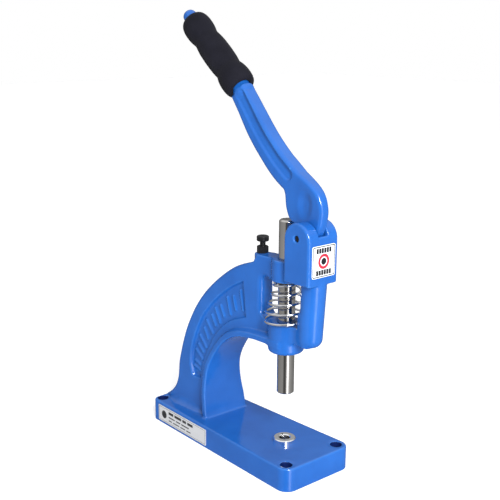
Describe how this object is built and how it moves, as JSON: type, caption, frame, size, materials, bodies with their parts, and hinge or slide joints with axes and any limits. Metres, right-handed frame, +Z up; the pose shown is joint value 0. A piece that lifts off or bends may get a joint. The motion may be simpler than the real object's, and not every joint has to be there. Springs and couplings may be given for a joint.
{
  "type": "snap setting press",
  "caption": "Bench hand press with a cast arch, a sprung ram under a cam lever, and a die socket in the base, for setting snaps and eyelets.",
  "frame": {"origin": "centre of the base underside", "axes": "+Z up along the ram, +Y from the die towards the root of the arch, +X to the right seen from the die end"},
  "size_m": [0.092, 0.2332, 0.4567],
  "materials": {
    "blue_enamel": "glossy blue enamel on cast iron",
    "lever_enamel": "glossy blue enamel on cast steel",
    "ground_steel": "ground and polished",
    "chrome_plate": "bright plated",
    "spring_wire": "bright plated wire",
    "collar_steel": "turned steel",
    "roll_pin_steel": "dark spring steel",
    "black_oxide": "black oxide",
    "nut_oxide": "black oxide",
    "pin_oxide": "black oxide",
    "foam": "closed-cell foam, matte",
    "badge_film": null,
    "plate_foil": null
  },
  "bodies": {
    "frame": {"frame_casting": "blue_enamel", "die_socket": "chrome_plate", "head_badge": "badge_film", "data_plate": "plate_foil", "pivot_pin": "pin_oxide", "return_spring": "spring_wire"},
    "lever": {"hand_lever": "lever_enamel", "foam_grip": "foam"},
    "ram": {"ram": "ground_steel", "spring_collar": "collar_steel", "collar_pin": "roll_pin_steel"},
    "stop": {"stop_screw": "black_oxide"},
    "nut": {"lock_nut": "nut_oxide"}
  },
  "joints": [
    {"name": "lever_pivot", "type": "hinge", "parent": "frame", "child": "lever", "pos_m": [0, -0.097, 0.247], "axis": [-1, 0, 0], "range_deg": [0, 54], "stiffness_Nm_per_rad": 1.2, "springref_deg": -126.05},
    {"name": "ram_slide", "type": "slide", "parent": "frame", "child": "ram", "axis": [0, 0, -1], "range_m": [0, 0.0256], "deforming": ["return_spring"]},
    {"name": "stop_adjust", "type": "slide", "parent": "frame", "child": "stop", "axis": [0, 0, 1], "range_m": [-0.0045, 0]},
    {"name": "lock_nut_turn", "type": "hinge", "parent": "frame", "child": "nut", "pos_m": [0, -0.0285, 0.2178], "axis": [0, 0, 1], "continuous": true}
  ],
  "couplings": [
    {"joint": "ram_slide", "follows": "lever_pivot", "m_per_rad": 0.0269}
  ]
}
